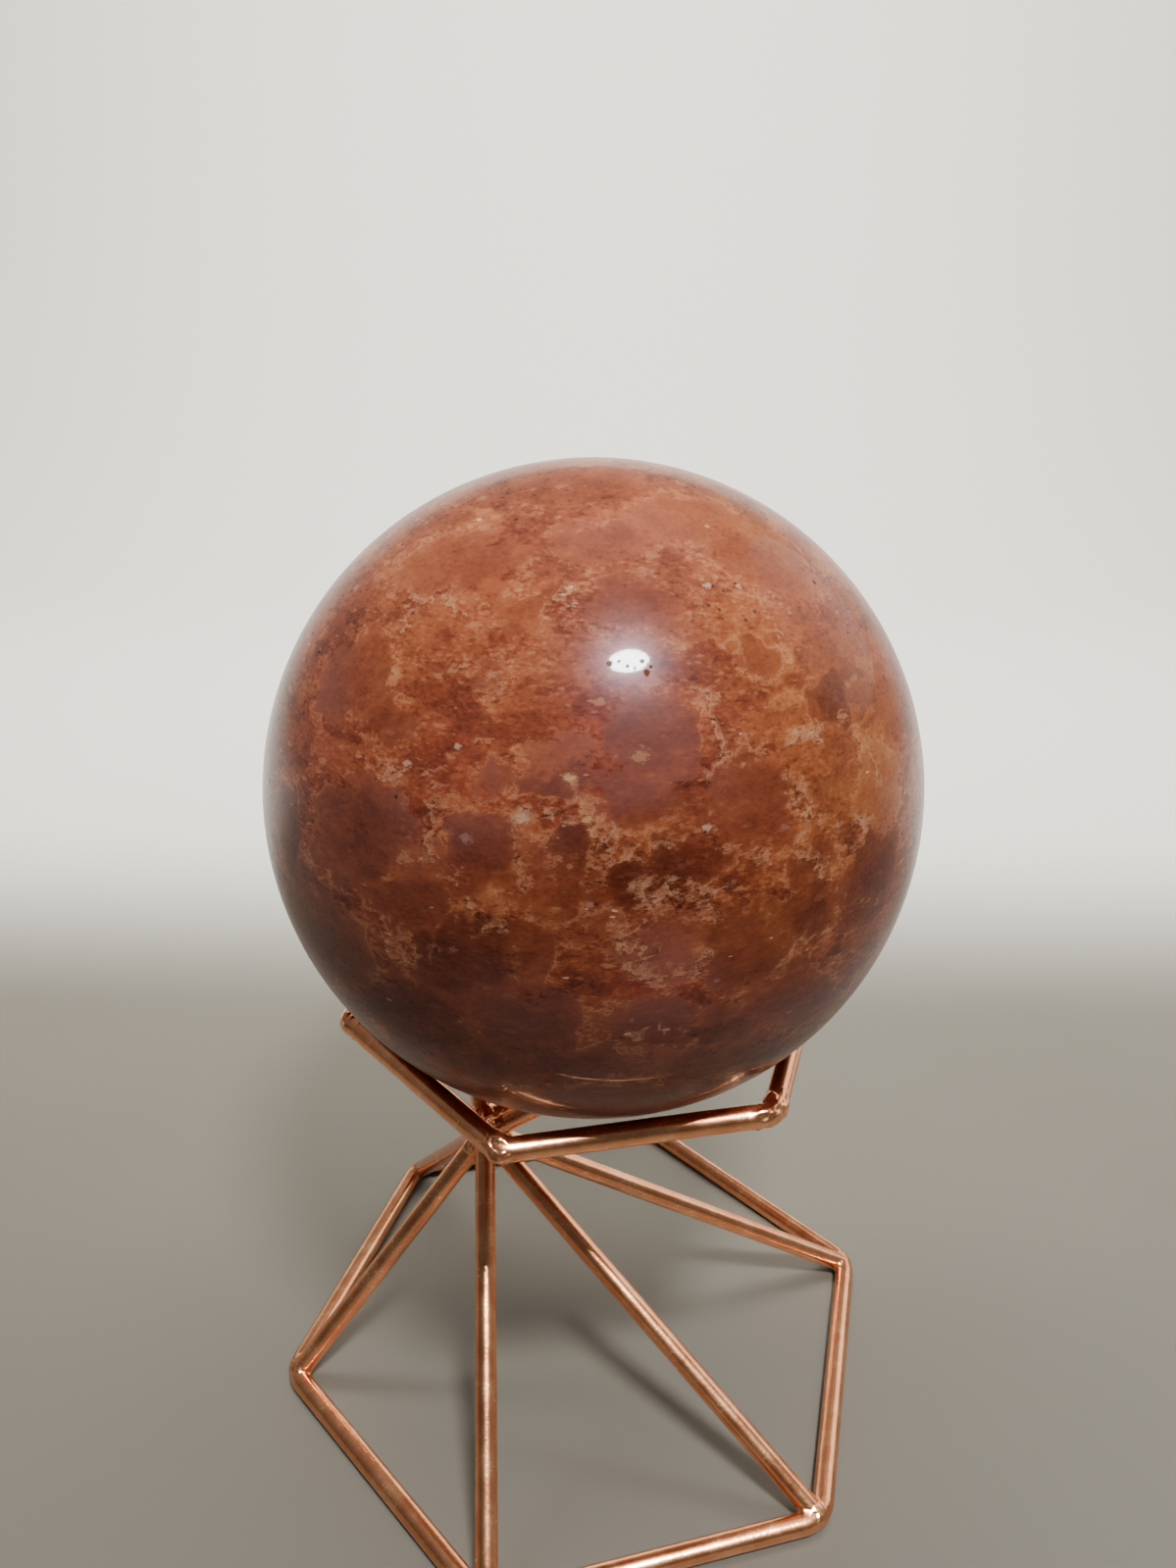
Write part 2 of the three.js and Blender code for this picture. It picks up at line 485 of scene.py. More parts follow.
# Clear windows seen from the front: degrees round from the front towards +X, degrees up,
# half width and half height in mm, tilt in degrees, paleness
frontWindows = (
    (-20, 29, 1.6, 2.4, 73, 0.20), (-20, 12, 5.6, 3.9, 16, 0.27), (0, 14, 3.1, 3.0, 8, 0.24),
    (9.5, 23.5, 2.1, 1.2, -10, 0.10), (12, 16.3, 2.0, 1.5, -18, 0.10), (24, 29, 4.0, 3.2, 62, 0.26),
    (21.5, 23.5, 3.4, 2.6, -10, 0.22), (-10, 6, 4.0, 3.1, 22, 0.30), (-2, -2, 4.7, 3.3, 31, 0.12),
    (38, 20, 3.8, 3.2, -8, 0.31), (37, 0, 3.9, 3.4, -12, 0.30), (47, 3, 3.0, 2.6, -16, 0.22),
    (24, 12.2, 4.8, 1.7, 12, 0.08), (58, 31, 2.5, 1.8, -12, 0.13), (8, 11, 1.8, 2.6, 14, 0.36),
    (5, -12, 4.6, 3.2, 8, 0.22), (61, 4, 3.6, 4.4, -15, 0.20), (48, 10, 1.8, 2.1, -29, 0.28),
    (-3, 37, 1.6, 0.9, 17, 0.36), (45, 39, 1.8, 1.2, -18, 0.33), (-38, 6, 2.4, 4.2, 12, 0.14),
    (1, 24, 1.2, 0.6, 6, 0.30), (25, 2, 3.8, 3.0, -5, 0.44), (50, -14, 6.0, 2.6, -30, 0.25),
    (7, 0, 2.1, 2.5, 7, 0.28), (25, -12, 4.2, 2.5, -6, 0.27), (23, 49, 3.7, 2.2, -1, 0.36),
    (-19, 55, 5.4, 3.0, 16, 0.46), (63, 54, 4.9, 3.6, -21, 0.50), (-31, 33, 4.0, 3.3, 14, 0.30),
    (49, 65, 5.2, 3.0, -7, 0.54), (1, 8, 1.5, 1.9, 8, 0.74), (15, 60, 3.3, 2.3, 1, 0.42),
    (1, 47, 2.1, 1.4, 5, 0.40), (65, 16, 3.2, 3.1, -17, 0.62), (-30, -9, 6.4, 4.6, 27, 0.30),
    (35, -14, 3.1, 2.7, -16, 0.20), (-12, -18, 6.2, 4.3, 27, 0.22), (11, 28, 2.3, 1.3, 2, 0.46),
    (15, 6, 2.4, 1.5, 1, 0.34), (13, 9.5, 2.6, 2.2, 10, 0.24), (14, -21, 6.0, 2.4, 0, 0.30),
    (36, -23, 5.0, 2.6, -12, 0.30), (-4, -25, 5.0, 2.8, 8, 0.27), (18, -33, 6.5, 3.6, 0, 0.30),
    (-22, -36, 6.0, 4.0, 10, 0.20), (52, -31, 5.0, 4.0, -10, 0.22), (14, -48, 7.0, 5.0, 0, 0.30),
)

# Broad drifts of colour in the feathery ground: degrees round and up, reach in mm, paler, yellower
drifts = (
    (-6, 27, 11, 0.02, -0.9), (54, 23, 11, 0.08, 1.0), (6, 65, 18, 0.08, 0.5), (12, -12, 16, -0.05, 0.2),
    (20, 34, 8, 0.04, -0.3), (17, 6, 8, -0.02, 0.1), (49, -4, 10, -0.04, 0.2), (-34, 24, 9, 0.0, -0.5),
    (22, 17.5, 3.0, 0.12, 0.5), (29, 19.5, 3.0, 0.12, 0.5), (72, 28, 11, 0.14, 0.0),
    (21, 26, 5.5, -0.03, -1.1), (15, -24, 14, 0.06, -0.5), (1, 7, 3.0, 0.12, 0.3),
    (15, -50, 16, 0.08, -0.4), (150, 20, 16, 0.05, 0.6), (-120, 35, 16, 0.03, -0.7),
    (-150, -20, 15, -0.04, 0.3), (110, -15, 14, -0.03, -0.5),
)

# Pale healed veils seen from the front: places in the same degrees, width in mm, strength
frontVeils = (
    (((5, 19), (9, 20), (13, 19), (15, 18), (18, 16)), 0.6, 0.88),
    (((12, 24), (15, 21), (18, 18), (18, 16)), 0.7, 0.72),
    (((14.5, 13), (18.6, 14.3), (22.8, 15.9), (28.3, 17.3), (31.5, 17.6)), 0.65, 0.75),
    (((-8, 19), (-9, 14), (-5, 11), (-2, 7), (-2, 5), (3, 5)), 1.1, 0.8),
    (((6, 17), (7, 14), (5, 10), (3, 6)), 0.8, 0.6),
    (((-14, -1), (-14, -5), (-9, -5), (-3, 2)), 0.6, 0.45),
    (((-3, 2), (-6, -3), (-13, -11)), 0.7, 0.35),
    (((31, 36), (34, 35), (34, 31), (35, 27), (32, 23)), 1.2, 0.75),
    (((45, 21), (47, 17), (53, 14), (60, 13)), 1.0, 0.7),
    (((46, 13), (48, 10), (52, 7), (53, 3)), 0.8, 0.8),
    (((43, -6), (47, -2), (54, 0), (65, -1)), 0.7, 0.6),
    (((22, 10), (25, 11), (29, 10), (33, 8)), 1.1, 0.88),
    (((18, 3), (20, 4), (23, 6), (27, 7), (32, 6)), 1.6, 0.66),
    (((18, 3), (21, 0), (24, -3), (28, -4), (31, -2)), 1.2, 0.8),
    (((-24, 40), (-24, 47), (-14, 47), (-7, 46)), 1.0, 0.6),
    (((8, 51), (10, 49), (13, 51)), 0.8, 0.8),
    (((-6, 39), (0, 37), (-3, 34)), 0.9, 0.5),
    (((19, -14), (23, -13), (28, -13)), 0.7, 0.8),
    (((37, 49), (44, 51), (46, 49), (50, 45), (51, 41)), 1.0, 0.52),
    (((46, 27), (48, 28), (52, 27), (49, 26)), 0.9, 0.9),
    (((-22, 22), (-17, 22), (-12, 22), (-6, 22), (-3, 21)), 0.8, 0.7),
    (((58, 28), (63, 24), (64, 18)), 1.6, 0.6),
    (((-24, 66), (-14, 68), (-1, 65)), 1.5, 0.5),
    (((33, 15), (39, 12), (41, 15), (43, 16)), 0.8, 0.6),
)


# Unit vectors for degrees from the front towards +X and degrees up.
def direction(azimuth, elevation):
    a, e = np.radians(azimuth), np.radians(elevation)
    return np.stack([np.sin(a) * np.cos(e), -np.cos(a) * np.cos(e), np.sin(e)], -1)


# Directions scattered evenly over the whole ball.
def spread(count, seed):
    rng = np.random.default_rng(seed)
    up = 1 - 2 * (np.arange(count) + rng.uniform(0, 1, count)) / count
    angle = np.arange(count) * 2.399963 + rng.uniform(-0.5, 0.5, count)
    flat = np.sqrt(1 - up ** 2)
    return np.stack([np.cos(angle) * flat, np.sin(angle) * flat, up], -1)


# A smooth random shift along the ball, one field for each axis less its part across the skin.
# Points are shifted by it before they are measured, so outlines wander.
def wander(heading, size, seed):
    shift = np.stack([bumpy(heading, size, seed + i) for i in range(3)], -1)
    return shift - (shift * heading).sum(1)[:, None] * heading


# Windows on the side that the photo doesn't show, in the same columns as the list above.
def hiddenWindows():
    rng = np.random.default_rng(5)
    heading = spread(stone["windowsBehind"], seed=4)
    heading = heading[heading @ direction(*stone["seen"]) < 0.28]
    count = len(heading)
    widths = rng.uniform(1.3, 5.2, count)
    heights = widths * rng.uniform(0.5, 0.95, count)
    tilts = rng.uniform(-30, 30, count)
    # Painted light and shade: paler towards the top and darker towards the bottom
    tones = np.clip(0.28 + 0.18 * heading[:, 2] + rng.normal(0, 0.10, count), 0.12, 0.44)
    azimuths = np.degrees(np.arctan2(heading[:, 0], -heading[:, 1]))
    return np.stack([azimuths, np.degrees(np.arcsin(heading[:, 2])), widths, heights, tilts, tones], -1)


# How deep each point is inside the nearest window, in mm, and that window's paleness.
# A window is |x / a|^2.4 + |y / b|^2.4 = 1 in the plane that touches the ball at its middle.
# Its paleness is weighed by exp(6 * depth), so that the deepest window counts most.
# Where two windows overlap the depth falls to 0 along the line that is equally deep in both.
def windowFields(heading):
    radius, power = stone["radius"], stone["squareness"]
    windows = np.concatenate([np.array(frontWindows), hiddenWindows()])
    shift = sum(share * wander(heading, size, seed) for share, size, seed in stone["outlineWander"])
    shifted = (heading + shift * stone["ragged"] / radius) * radius
    middles = direction(windows[:, 0], windows[:, 1])
    east = np.cross((0, 0, 1), middles)
    east /= np.linalg.norm(east, axis=1, keepdims=True)
    north = np.cross(middles, east)
    best, second = np.full(len(heading), -30.0), np.full(len(heading), -31.0)
    weight, tones = np.full(len(heading), 1e-9), np.full(len(heading), 0.3e-9)
    windows[:, 2:4] *= stone["grown"]
    for middle, e, n, (_, _, a, b, tilt, tone) in zip(middles, east, north, windows):
        near = np.flatnonzero(heading @ middle > cos(min((max(a, b) + stone["margin"]) / radius, 1.2)))
        x, y = shifted[near] @ e, shifted[near] @ n
        c, t = cos(radians(tilt)), sin(radians(tilt))
        far = np.abs((x * c + y * t) / a) ** power + np.abs((y * c - x * t) / b) ** power
        depth = (1 - far ** (1 / power)) * min(a, b)
        second[near] = np.maximum(second[near], np.minimum(best[near], depth))
        best[near] = np.maximum(best[near], depth)
        strength = np.exp(np.clip(depth, -3, 4) * 6)
        weight[near] += strength
        tones[near] += strength * tone
    return np.minimum(best, stone["seamSlope"] * (best - second)), tones / weight


# Sums of round hills, exp(-(distance / reach)^2), that make the ground paler and yellower.
def driftFields(heading):
    # Painted light and shade: the ground starts paler towards the top, where the lamps fall, and darker
    # towards the bottom, which lies in shade
    paler = np.where(heading[:, 2] > 0, 0.10, 0.03) * heading[:, 2]
    yellower = 0.3 * bumpy(heading, 0.5, 71)
    for azimuth, elevation, reach, light, warm in drifts:
        far = np.arccos(np.clip(heading @ direction(azimuth, elevation), -1, 1)) * stone["radius"]
        hill = np.exp(-(far / reach) ** 2)
        paler, yellower = paler + light * hill, yellower + warm * hill
    return paler, yellower


# Distance to a line drawn on the ball, negative on one side of it.
def sidedDistance(points, path):
    best, side = np.full(len(points), 1e9), np.ones(len(points))
    for start, run in zip(path[:-1], np.diff(path, axis=0)):
        share = np.clip((points - start) @ run / (run @ run), 0, 1)
        off = points - start - share[:, None] * run
        square = (off ** 2).sum(1)
        side = np.where(square < best, np.sign((np.cross(run, off) * points).sum(1)), side)
        best = np.minimum(best, square)
    return np.sqrt(best) * side


# Strength of the pale veils: each falls off as exp(-(distance / width)^2) from its own line.
# The second field is the sided distance to the strongest veil's line, in mm.
def veilFields(heading):
    radius = stone["radius"]
    rng = np.random.default_rng(8)
    veils = [(direction(*np.array(places, float).T), width / radius, strength)
             for places, width, strength in frontVeils]
    seen = direction(*stone["veilsSeen"])
    for start in spread(stone["veilsBehind"], seed=9):
        if start @ seen > 0.35:
            continue
        line = start + np.cumsum(rng.normal(0, 0.055, (rng.integers(3, 6), 3)), 0)
        line /= np.linalg.norm(line, axis=1, keepdims=True)
        veils.append((line, rng.uniform(0.6, 1.4) / radius, rng.uniform(0.4, 1.0)))
    shift = sum(share * wander(heading, size, seed) for share, size, seed in stone["veilWander"])
    shifted = heading + shift / radius
    widest = stone["veilRange"]
    total, side = np.zeros(len(heading)), np.full(len(heading), widest)
    for line, width, strength in veils:
        near = np.flatnonzero((heading @ line.mean(0)) > 0.6)
        far = sidedDistance(shifted[near], line)
        veil = strength * np.exp(-(far / width) ** 2)
        side[near] = np.where(veil > total[near], np.clip(far * radius, -widest, widest), side[near])
        total[near] = np.maximum(total[near], veil)
    return total, side


# Middle and radius of the stone's solid.
def stonePlace():
    low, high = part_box("sunstone_sphere")
    return (low + high) / 2, (high.z - low.z) / 2


# A ball: centre + radius * (sin v cos u, sin v sin u, cos v), with shallow grooves along the veils.
def makeStone():
    centre, radius = stonePlace()
    centre = np.array(centre)
    v = np.linspace(0, pi, stone["down"] + 1)[:, None]
    u = np.linspace(0, 2 * pi, stone["around"], endpoint=False)[None]
    grid = np.stack([np.sin(v) * np.cos(u), np.sin(v) * np.sin(u), np.cos(v) + 0 * u], -1)
    heading, quads, triangles = closeEnds(grid[::-1])
    heading = heading / np.linalg.norm(heading, axis=1, keepdims=True)
    fields = {}
    fields["windowDepth"], fields["windowTone"] = windowFields(heading)
    fields["paler"], fields["yellower"] = driftFields(heading)
    fields["veil"], fields["veilSide"] = veilFields(heading)
    groove = stone["groove"] * fields["veil"] * (0.5 + 0.5 * bumpy(heading, 0.05, 31))
    points = centre + heading * (radius - np.clip(groove, 0, None))[:, None]
    piece = makeMesh("sunstone_look", [(points, quads, triangles)])
    for name, values in fields.items():
        layer = piece.data.attributes.new(name, "FLOAT", "POINT")
        layer.data.foreach_set("value", values.astype(np.float32))
    return piece


stonePiece = makeStone()
print("stone made:", len(stonePiece.data.polygons), "faces")


# Materials
sunstoneLook = {
    "ramp": (  # from the clear dark windows to the palest feathers
        (0.00, (0.046, 0.0078, 0.0036)), (0.20, (0.092, 0.0185, 0.0085)), (0.42, (0.185, 0.0420, 0.0175)),
        (0.60, (0.262, 0.0680, 0.0260)), (0.78, (0.340, 0.1100, 0.0460)), (1.00, (0.460, 0.2000, 0.1000)),
    ),
    "yellow": (1.00, 1.06, 0.80),
    "red": (1.06, 0.88, 1.00),
    # painted reflection: the pinkish grey haze laid over the paler, upper ground
    "mist": (0.310, 0.145, 0.095),
    "tan": (0.42, 0.172, 0.080),
    "pale": (0.51, 0.255, 0.150),
    # painted glint: the colour of the stray bright specks
    "speck": (0.80, 0.56, 0.38),
    "gold": (0.80, 0.52, 0.24),
    # painted glint: near-white colour of the glinting flecks
    "paintedGlint": (0.74, 0.50, 0.36),
    "mauve": (0.36, 0.215, 0.19),
    "slate": (0.213, 0.116, 0.104),
    "clay": (0.50, 0.25, 0.13),
    "dark": (0.075, 0.015, 0.008),
    "pit": (0.06, 0.012, 0.006),
    "layers": ((1, 1, 1.8), (4, -7, 0)),  # of the clouds: how much finer, and the turn in degrees
    "flakes": ((1, 1, 2.8), (5, -6, 20)),  # the same of the flakes
    "size": {  # widths of the blotches and cells
        "broad": 7 * mm, "mottle": 2.2 * mm, "grain": 0.55 * mm, "tear": 2.5 * mm, "patch": 5 * mm,
        "scale": 1.9 * mm, "lace": 1.3 * mm, "laceTear": 1.0 * mm, "speck": 1.9 * mm, "pitEdge": 0.25 * mm,
    },
    "flakeSets": ((2.1 * mm, 0.80, 0.55), (1.0 * mm, 0.78, 0.40)),  # size, rareness, strength
    "share": {  # how strongly each layer is mixed in
        "mist": 0.07, "slate": 0.25, "rim": 0.27, "darkFlake": 0.40, "body": 0.28, "thread": 0.34,
        "gap": 0.34, "crust": 0.26, "crack": 0.40, "shade": 0.38, "speck": 0.5, "fleck": 0.38, "hole": 0.8,
    },
    "relief": 0.008 * mm,
    "holeDepth": 0.05 * mm,
    "coat": 0.20,
    "shine": {
        "Coat Roughness": 0.05,
        "Coat IOR": 1.35,
        "IOR": 1.5,
        "Specular IOR Level": 0.045,
        "Specular Tint": (0.86, 0.82, 1.0, 1),
        "Sheen Weight": 0.13,
        "Sheen Roughness": 0.40,
        "Sheen Tint": (0.90, 0.82, 0.76, 1),
        "Subsurface Weight": 0.08,
        "Subsurface Radius": (1.0, 0.25, 0.1),
        "Subsurface Scale": 0.8 * mm,
    },
}

# Small open pits: degrees round and up as above, width in mm
pits = (
    (18, 40, 0.55), (19.6, 40.3, 0.3), (21, 39.6, 0.35), (22.2, 39.3, 0.3), (23.6, 40.2, 0.45),
    (24.2, 38.6, 0.6), (25, 39.4, 0.3), (-12, 64, 0.5), (42, 51, 0.4), (44, 50, 0.35), (48, 51, 0.4),
    (39, 48, 0.5), (41, 47, 0.4), (46, 45, 0.5), (49, 46, 0.4), (73, 48, 0.5), (0, 5, 0.7),
    (1.5, 5, 0.4), (72, 39, 0.4), (16, 8, 0.4), (-14, 19, 0.4), (31, 17, 0.35), (-45, -4, 0.4),
    (-49, 11, 0.5), (-53, 35, 0.5), (-47, 20, 0.3), (-48, 28, 0.4),
)

# Flecks with a place of their own: degrees round and up, width in mm
flecks = {
    "gold": ((12.1, 24.6, 1.3), (14.8, 19.4, 1.0), (9.9, 51.6, 0.8)),
    # the white ones mark glinting platelets, their near-white colour a painted glint
    "paintedGlint": ((-5.2, 27.4, 0.6), (-13.2, 24.0, 0.8), (6.0, 19.0, 1.6), (31.5, 17.6, 0.9), (52.6, 62.3, 0.6),
              (40.9, 51.2, 0.6), (48.6, 50.6, 0.6), (26.4, -13.0, 0.6), (20.9, -13.3, 0.6),
              (-14.6, -2.6, 0.6)),
    "mauve": ((-12.7, 18.9, 1.1), (-1.9, 15.5, 1.1), (15.1, 8.0, 0.7), (47.5, -15.4, 0.6),
              (43.2, 15.9, 0.8), (33.0, -5.0, 0.6)),
    "clay": ((-20.5, 35.7, 1.1), (-9.6, 37.3, 1.0), (-1.0, 32.6, 1.0), (3.9, 41.1, 0.6), (-5.6, 19.7, 1.3),
             (-11.3, 11.1, 1.6), (48.2, 28.1, 1.2), (9.9, 51.6, 1.4), (-34.0, 38.1, 0.6),
             (-50.3, 37.1, 0.6), (22.5, 27.5, 1.4)),
}


def makeSunstone():
    look, size, share = sunstoneLook, sunstoneLook["size"], sunstoneLook["share"]
    m = Material("polished_sunstone")
    depth, tone, paler, yellower, veil, veilSide = (
        m.attribute(n) for n in ("windowDepth", "windowTone", "paler", "yellower", "veil", "veilSide"))
    layered, flaky = (m.mapped(*look[kind]) for kind in ("layers", "flakes"))
    broad = m.noise(size["broad"], 4, 0.55, layered, warp=0.3) - 0.5
    mottle = m.noise(size["mottle"], 6, 0.62, layered) - 0.5
    grain = m.noise(size["grain"], 5, 0.66, layered) - 0.5
    torn = m.shaken(layered, size["tear"], size["tear"] * 2, 4)
    patch = m.pick(size["patch"], torn) - 0.5
    scale = m.pick(size["scale"], torn) - 0.5

    # The cloudy ground of overlapping patches, and the smooth clear windows in it
    calm = paler.step(0.10, 0.24)
    texture = patch * 0.26 + scale * 0.18 + broad * 0.5 + mottle * 0.5 + grain * 0.65
    edge = depth + mottle * 2.0 + grain * 1.5 + patch * 0.6
    crisp = edge.step(-0.08, 0.12)
    soft = (depth + broad * 2.0).step(-0.20, 1.6)
    glow = edge.step(-1.5, -0.1) * (broad + 0.1).step(-0.05, 0.15)
    ground = 0.425 + paler * 0.50 + glow * 0.12 + texture * (1 - 0.35 * calm)
    clear = 0.22 + tone * 0.78 - soft * 0.10 + broad * 0.28 + mottle * 0.34 + grain * 0.30 + patch * 0.07
    inside = crisp * (0.80 + soft * 0.14)
    level = ground + (clear - ground) * inside
    colour = m.node("ShaderNodeValToRGB", {"stops": look["ramp"]}, {0: level})
    colour = m.mix(yellower.step(0.0, 1.0), colour, m.mix(1.0, colour, look["yellow"], "MULTIPLY"))
    colour = m.mix(yellower.step(0.0, -1.0), colour, m.mix(1.0, colour, look["red"], "MULTIPLY"))
    # Painted reflection: a pinkish grey haze over the paler ground, most of it on the upper part, stands in
    # for the sheen of the polish
    colour = m.mix((paler + broad * 0.3).step(-0.02, 0.22) * share["mist"], colour, look["mist"])
    colour = m.mix(yellower.step(0.1, -0.9) * (0.04 + inside * share["slate"]), colour, look["slate"])

    # A thin bright rim on parts of the windows' outlines
    somewhere = (broad + mottle * 0.8 + grain * 0.5).step(-0.06, 0.08)
    rim = edge.step(-0.42, -0.10) * edge.step(0.16, 0.0) * somewhere
    colour = m.mix(rim * share["rim"], colour, look["clay"])

    # Short level flakes in drifts, at two sizes
    outside = 1 - inside * 0.88
    for width, rare, strength in look["flakeSets"]:
        place = m.shaken(flaky, width * 0.45, width * 0.9, 3)
        crumb = (m.cells(width, place=place) + grain * 0.3).step(0.40, 0.28)
        chosen = (m.pick(width, place) + broad * 0.8 + mottle * 0.5 + veil * 0.22).step(rare, rare + 0.06)
        colour = m.mix(crumb * chosen * outside * (strength - 0.22 * calm), colour, look["tan"])
        chosen = (m.pick(width, place) - broad * 0.6).step(0.16, 0.10)
        colour = m.mix(crumb * chosen * outside * share["darkFlake"], colour, look["dark"])

    # Crumpled veils: a torn body, a lace of cracks in it, dark gaps beside it
    body = (veil + mottle * 1.3 + grain * 1.6).step(0.38, 0.90)
    colour = m.mix(body * share["body"], colour, look["tan"])
    crumpled = m.shaken(layered, size["laceTear"], size["laceTear"] * 2.2, 5)
    lace = m.cells(size["lace"], "DISTANCE_TO_EDGE", crumpled)
    thread = (lace + grain * 0.20).step(0.09, 0.02) * (veil + mottle * 2.4 + scale * 0.3).step(0.50, 0.80)
    colour = m.mix(thread * share["thread"], colour, look["pale"])
    gap = (grain + mottle * 0.5).step(-0.07, -0.13) * (veil + mottle * 0.8).step(0.40, 0.65)
    colour = m.mix(gap * share["gap"], colour, look["dark"])
    crust = (veil * 0.55 + grain * 1.9 + scale * 0.3).step(0.56, 0.70)
    colour = m.mix(crust * share["crust"], colour, look["pale"])

    # One thin torn crack along the middle of each veil, dark on one side
    across = veilSide + mottle * 1.7 + grain * 1.5
    crack = across.math("ABSOLUTE").step(0.24, 0.04)
    crack = crack * (veil + broad * 1.2 + grain * 0.9).step(0.36, 0.72)
    colour = m.mix(crack * share["crack"], colour, look["pale"])
    shade = across.step(-0.8, -0.25) * across.step(-0.08, -0.25) * (veil + broad * 0.8).step(0.34, 0.64)
    colour = m.mix(shade * share["shade"], colour, look["dark"])

    # Stray bright specks, painted glints of the stone's platelets, most of them by the veils
    chosen = m.pick(size["speck"], flaky) + veil * 0.10 + broad * 0.15
    speck = (m.cells(size["speck"], place=flaky) + grain * 0.6).step(0.17, 0.09) * chosen.step(0.965, 0.985)
    colour = m.mix(speck * share["speck"], colour, look["speck"])

    # The listed flecks, the white ones painted glints, and the open pits
    for kind, flat in (("clay", 1.8), ("mauve", 1.5), ("paintedGlint", 1.6), ("gold", 1.6)):
        near = nearestMark(m, flecks[kind], flat) * 0.8 + grain * 3.2 + mottle * 3.0
        colour = m.mix(near.step(0.85, 0.35) * share["fleck"], colour, look[kind])
    hole = (nearestMark(m, pits) + (m.noise(size["pitEdge"], 2) - 0.5) * 1.2).step(1.0, 0.6)
    colour = m.mix(hole * share["hole"], colour, look["pit"])

    polish = 0.30 + body * 0.06 + grain * 0.2 + hole * 0.3
    relief = m.bump(mottle * 0.4 + grain * 0.5 - thread * 0.5, look["relief"])
    return m.finish({
        "Base Color": colour,
        "Roughness": polish,
        "Normal": m.bump(hole * -1.0, look["holeDepth"], under=relief),
        "Coat Weight": look["coat"] - hole * 0.19,
        **look["shine"],
    })


# Distance to the nearest mark in units of its half width, with heights counted `flat` times.
def nearestMark(m, marks, flat=1.0):
    centre, radius = stonePlace()
    squash = (1, 1, flat)
    place = m.node("ShaderNodeVectorMath", {"operation": "MULTIPLY"}, {0: m.place, 1: squash})
    best = None
    for azimuth, elevation, width in marks:
        spot = (centre + Vector(direction(azimuth, elevation)) * radius) * Vector(squash)
        far = m.node("ShaderNodeVectorMath", {"operation": "DISTANCE"}, {0: place, 1: spot}, output="Value")
        far = far / (width / 2 * mm)
        best = best.least(far) if best else far
    return best


copperLook = {
    "bright": (0.94, 0.465, 0.235),
    "warm": (0.80, 0.32, 0.15),
    "dull": (0.34, 0.10, 0.06),
    "cloud": 3 * mm,
    "fine": 0.35 * mm,
    "relief": 0.013 * mm,
}


def makeCopper():
    look = copperLook
    m = Material("copper_wire_finish")
    cloud = m.noise(look["cloud"], 5, 0.6)
    fine = m.noise(look["fine"], 4, 0.6)
    colour = m.mix((cloud + (fine - 0.5) * 0.4).step(0.36, 0.72), look["warm"], look["bright"])
    specks = (fine + (cloud - 0.5) * 0.4).step(0.68, 0.76)
    colour = m.mix(specks * 0.6, colour, look["dull"])
    return m.finish({
        "Base Color": colour,
        "Roughness": 0.23 + (cloud - 0.5) * 0.16 + specks * 0.2,
        "Metallic": 1.0,
        "Normal": m.bump(fine * 1.6 + cloud * 2, look["relief"]),
    })


# The backdrop faces the camera
studioBack = (-sin(radians(view["azimuth"])), cos(radians(view["azimuth"])), 0.0)
studioRight = (studioBack[1], -studioBack[0], 0.0)
floorLook = {
    "cloud": 60 * mm,
    "near": ((0.116, 0.104, 0.080), (0.137, 0.123, 0.096)),
    "pale": (0.56, 0.535, 0.475),
    "paleFrom": (0.07, 0.16),  # metres behind the object where the pale zone starts and is full
    "paleSides": (0.95, 0.55),  # metres to either side of it where it ends and is full
}


def makeFloorLook():
    look = floorLook
    m = Material("pale_floor")
    near = m.mix(m.noise(look["cloud"], 4, 0.5), *look["near"])
    across, back = (
        m.node("ShaderNodeVectorMath", {"operation": "DOT_PRODUCT"}, {0: m.place, 1: way}, output="Value")
        for way in (studioRight, studioBack))
    end, start = look["paleSides"]
    pale = back.step(*look["paleFrom"]) * across.step(end, start) * across.step(-end, -start)
    colour = m.mix(pale, near, look["pale"])
    return m.finish({"Base Color": colour, "Roughness": 0.6, "Specular IOR Level": 0.3})


sunstoneMaterial = makeSunstone()
copperMaterial = makeCopper()
stonePiece.data.materials.append(sunstoneMaterial)
for piece in wirePieces.values():
    piece.data.materials.append(copperMaterial)
print("materials made")


# Floor and light
studio = {
    "floorHalf": 1.2,
    "floorSide": 2.2,
    "floorBend": 0.35,
    "wallDistance": 0.75,
    "wallHeight": 0.37,
    "world": (-0.6, 0.8, 0.10, 0.38),  # heading's Y from and to, strength from and to
    "worldColour": (1.0, 0.985, 0.96, 1),
}
keyHeading = (0.280, -0.386, 0.879)
stoneMiddle = (0, 0, 0.081)
# The glint and the side lamp show in reflections only; the wall's lamp never shows in them
lamps = {
    "key": {"heading": keyHeading, "distance": 0.60, "size": (0.12, 0.0744), "power": 4.6,
            "target": stoneMiddle},
    "glint": {"heading": keyHeading, "distance": 0.594, "size": (0.12, 0.0744), "power": 16.0,
              "target": stoneMiddle, "scattered": False},
    "above": {"heading": (0.1, 0.2, 1), "distance": 1.1, "size": (0.9, 0.9), "power": 2.2,
              "target": (0, 0, 0.08)},
    "side": {"heading": (0.60, 0.64, 0.48), "distance": 0.9, "size": (0.75, 0.6), "power": 2.0,
             "target": (0.02, 0, 0.04), "scattered": False},
    "wall": {"heading": Vector(studioBack) * -0.75 + Vector((0, 0, 0.55)), "distance": 0.55,
             "size": (1.0, 0.4), "power": 15.5,
             "target": Vector(studioBack) * 0.63 + Vector((0, 0, 0.16)), "mirrored": False},
}


